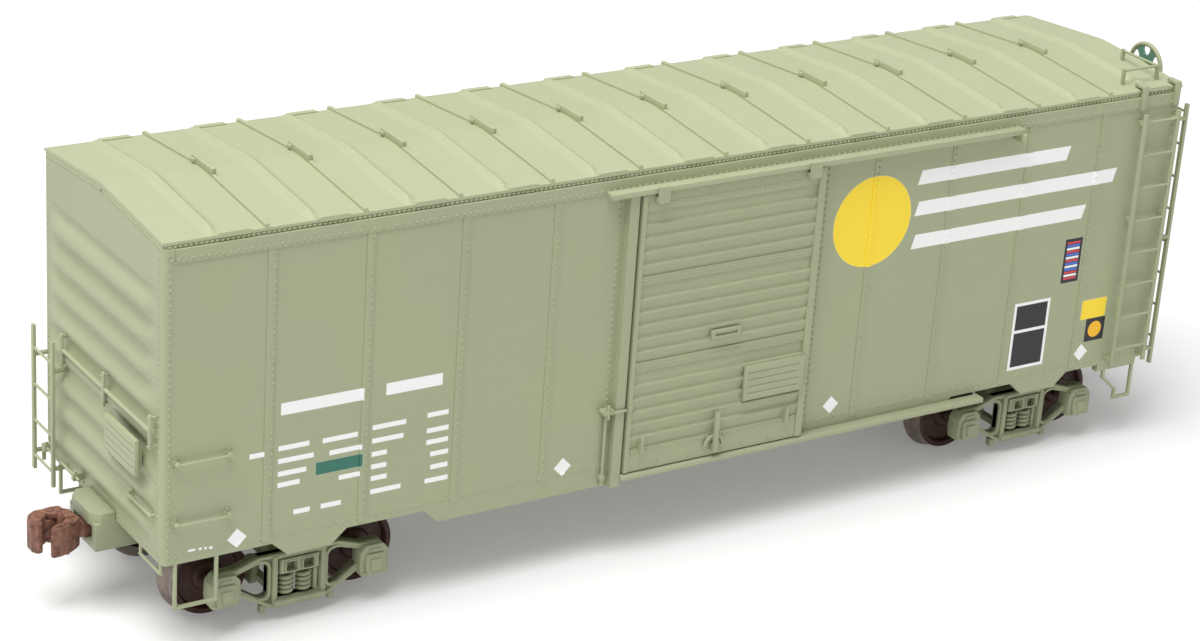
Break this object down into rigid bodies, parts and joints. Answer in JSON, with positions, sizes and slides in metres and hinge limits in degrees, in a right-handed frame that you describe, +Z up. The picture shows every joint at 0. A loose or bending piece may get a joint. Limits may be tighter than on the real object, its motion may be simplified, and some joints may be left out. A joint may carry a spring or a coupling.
{
  "type": "model railroad boxcar",
  "caption": "Scale model boxcar with riveted sides, corrugated ends, sliding doors, low peaked roof, ladders, swivelling trucks and knuckle couplers.",
  "frame": {"origin": "middle of the car's box, at the bottom of the wheel flanges", "axes": "+X along the car towards the brake wheel end, -Y towards the left side, +Z up"},
  "size_m": [0.164, 0.037, 0.053],
  "materials": {
    "body_green": "flat pale sage green paint",
    "roof_green": "flat pale sage green paint",
    "door_green": "flat pale sage green paint",
    "truck_green": "flat sage green, moulded",
    "underframe_green": "flat sage green paint",
    "deck": "flat painted planks",
    "coupler": "flat rust brown",
    "wheels": "dark brown with bare treads",
    "steel": "plain steel",
    "brake_teal": "flat blue-green paint"
  },
  "bodies": {
    "car": {"side_left": "body_green", "side_right": "body_green", "end_a": "body_green", "end_b": "body_green", "roof": "roof_green", "floor_deck": "deck", "steel_weight": "steel", "floor_pan": "underframe_green", "centre_sill": "underframe_green", "centre_plates": "underframe_green", "bolster_arms": "underframe_green", "cross_bearers": "underframe_green", "truck_screws": "steel", "upper_tracks": "body_green", "lower_tracks": "body_green", "ladders_a": "body_green", "ladders_b": "body_green", "side_grab_irons": "body_green", "end_rails_a": "body_green", "end_rails_b": "body_green", "sill_steps": "body_green", "tack_boards": "body_green", "roof_grab": "body_green", "brake_wheel": "brake_teal", "brake_housing": "body_green", "brake_platform": "body_green", "air_reservoir": "underframe_green", "brake_cylinder": "underframe_green", "control_valve": "underframe_green", "brake_levers": "underframe_green", "draft_boxes": "underframe_green", "cut_levers": "body_green"},
    "door_left": {"door_left": "door_green", "door_fittings_left": "door_green"},
    "door_right": {"door_right": "door_green", "door_fittings_right": "door_green"},
    "coupler_a": {"coupler_a": "coupler"},
    "coupler_b": {"coupler_b": "coupler"},
    "knuckle_a": {"knuckle_a": "coupler"},
    "knuckle_b": {"knuckle_b": "coupler"},
    "truck_a": {"truck_a_bolster": "truck_green", "truck_a_frame_left": "truck_green", "truck_a_frame_right": "truck_green", "truck_a_springs": "truck_green", "truck_a_brakes": "truck_green"},
    "wheelset_a1": {"axle_a1": "wheels", "wheels_a1": "wheels"},
    "wheelset_a2": {"axle_a2": "wheels", "wheels_a2": "wheels"},
    "truck_b": {"truck_b_bolster": "truck_green", "truck_b_frame_left": "truck_green", "truck_b_frame_right": "truck_green", "truck_b_springs": "truck_green", "truck_b_brakes": "truck_green"},
    "wheelset_b1": {"axle_b1": "wheels", "wheels_b1": "wheels"},
    "wheelset_b2": {"axle_b2": "wheels", "wheels_b2": "wheels"}
  },
  "joints": [
    {"name": "door_left_slide", "type": "slide", "parent": "car", "child": "door_left", "axis": [1, 0, 0], "range_m": [0, 0.027]},
    {"name": "door_right_slide", "type": "slide", "parent": "car", "child": "door_right", "axis": [-1, 0, 0], "range_m": [0, 0.027]},
    {"name": "truck_a_swivel", "type": "hinge", "parent": "car", "child": "truck_a", "pos_m": [-0.0545, 0, 0.0089], "axis": [0, 0, 1], "range_deg": [-10, 10]},
    {"name": "axle_a1_spin", "type": "hinge", "parent": "truck_a", "child": "wheelset_a1", "pos_m": [-0.06412, 0, 0.00546], "axis": [0, 1, 0], "continuous": true},
    {"name": "axle_a2_spin", "type": "hinge", "parent": "truck_a", "child": "wheelset_a2", "pos_m": [-0.04488, 0, 0.00546], "axis": [0, 1, 0], "continuous": true},
    {"name": "coupler_a_swing", "type": "hinge", "parent": "car", "child": "coupler_a", "pos_m": [-0.07, 0, 0.0099], "axis": [0, 0, 1], "range_deg": [-8, 8]},
    {"name": "knuckle_a_open", "type": "hinge", "parent": "coupler_a", "child": "knuckle_a", "pos_m": [-0.0788, 0.00175, 0.0099], "axis": [0, 0, -1], "range_deg": [0, 20]},
    {"name": "truck_b_swivel", "type": "hinge", "parent": "car", "child": "truck_b", "pos_m": [0.0545, 0, 0.0089], "axis": [0, 0, 1], "range_deg": [-10, 10]},
    {"name": "axle_b1_spin", "type": "hinge", "parent": "truck_b", "child": "wheelset_b1", "pos_m": [0.04488, 0, 0.00546], "axis": [0, 1, 0], "continuous": true},
    {"name": "axle_b2_spin", "type": "hinge", "parent": "truck_b", "child": "wheelset_b2", "pos_m": [0.06412, 0, 0.00546], "axis": [0, 1, 0], "continuous": true},
    {"name": "coupler_b_swing", "type": "hinge", "parent": "car", "child": "coupler_b", "pos_m": [0.07, 0, 0.0099], "axis": [0, 0, 1], "range_deg": [-8, 8]},
    {"name": "knuckle_b_open", "type": "hinge", "parent": "coupler_b", "child": "knuckle_b", "pos_m": [0.0788, -0.00175, 0.0099], "axis": [0, 0, -1], "range_deg": [0, 20]}
  ]
}
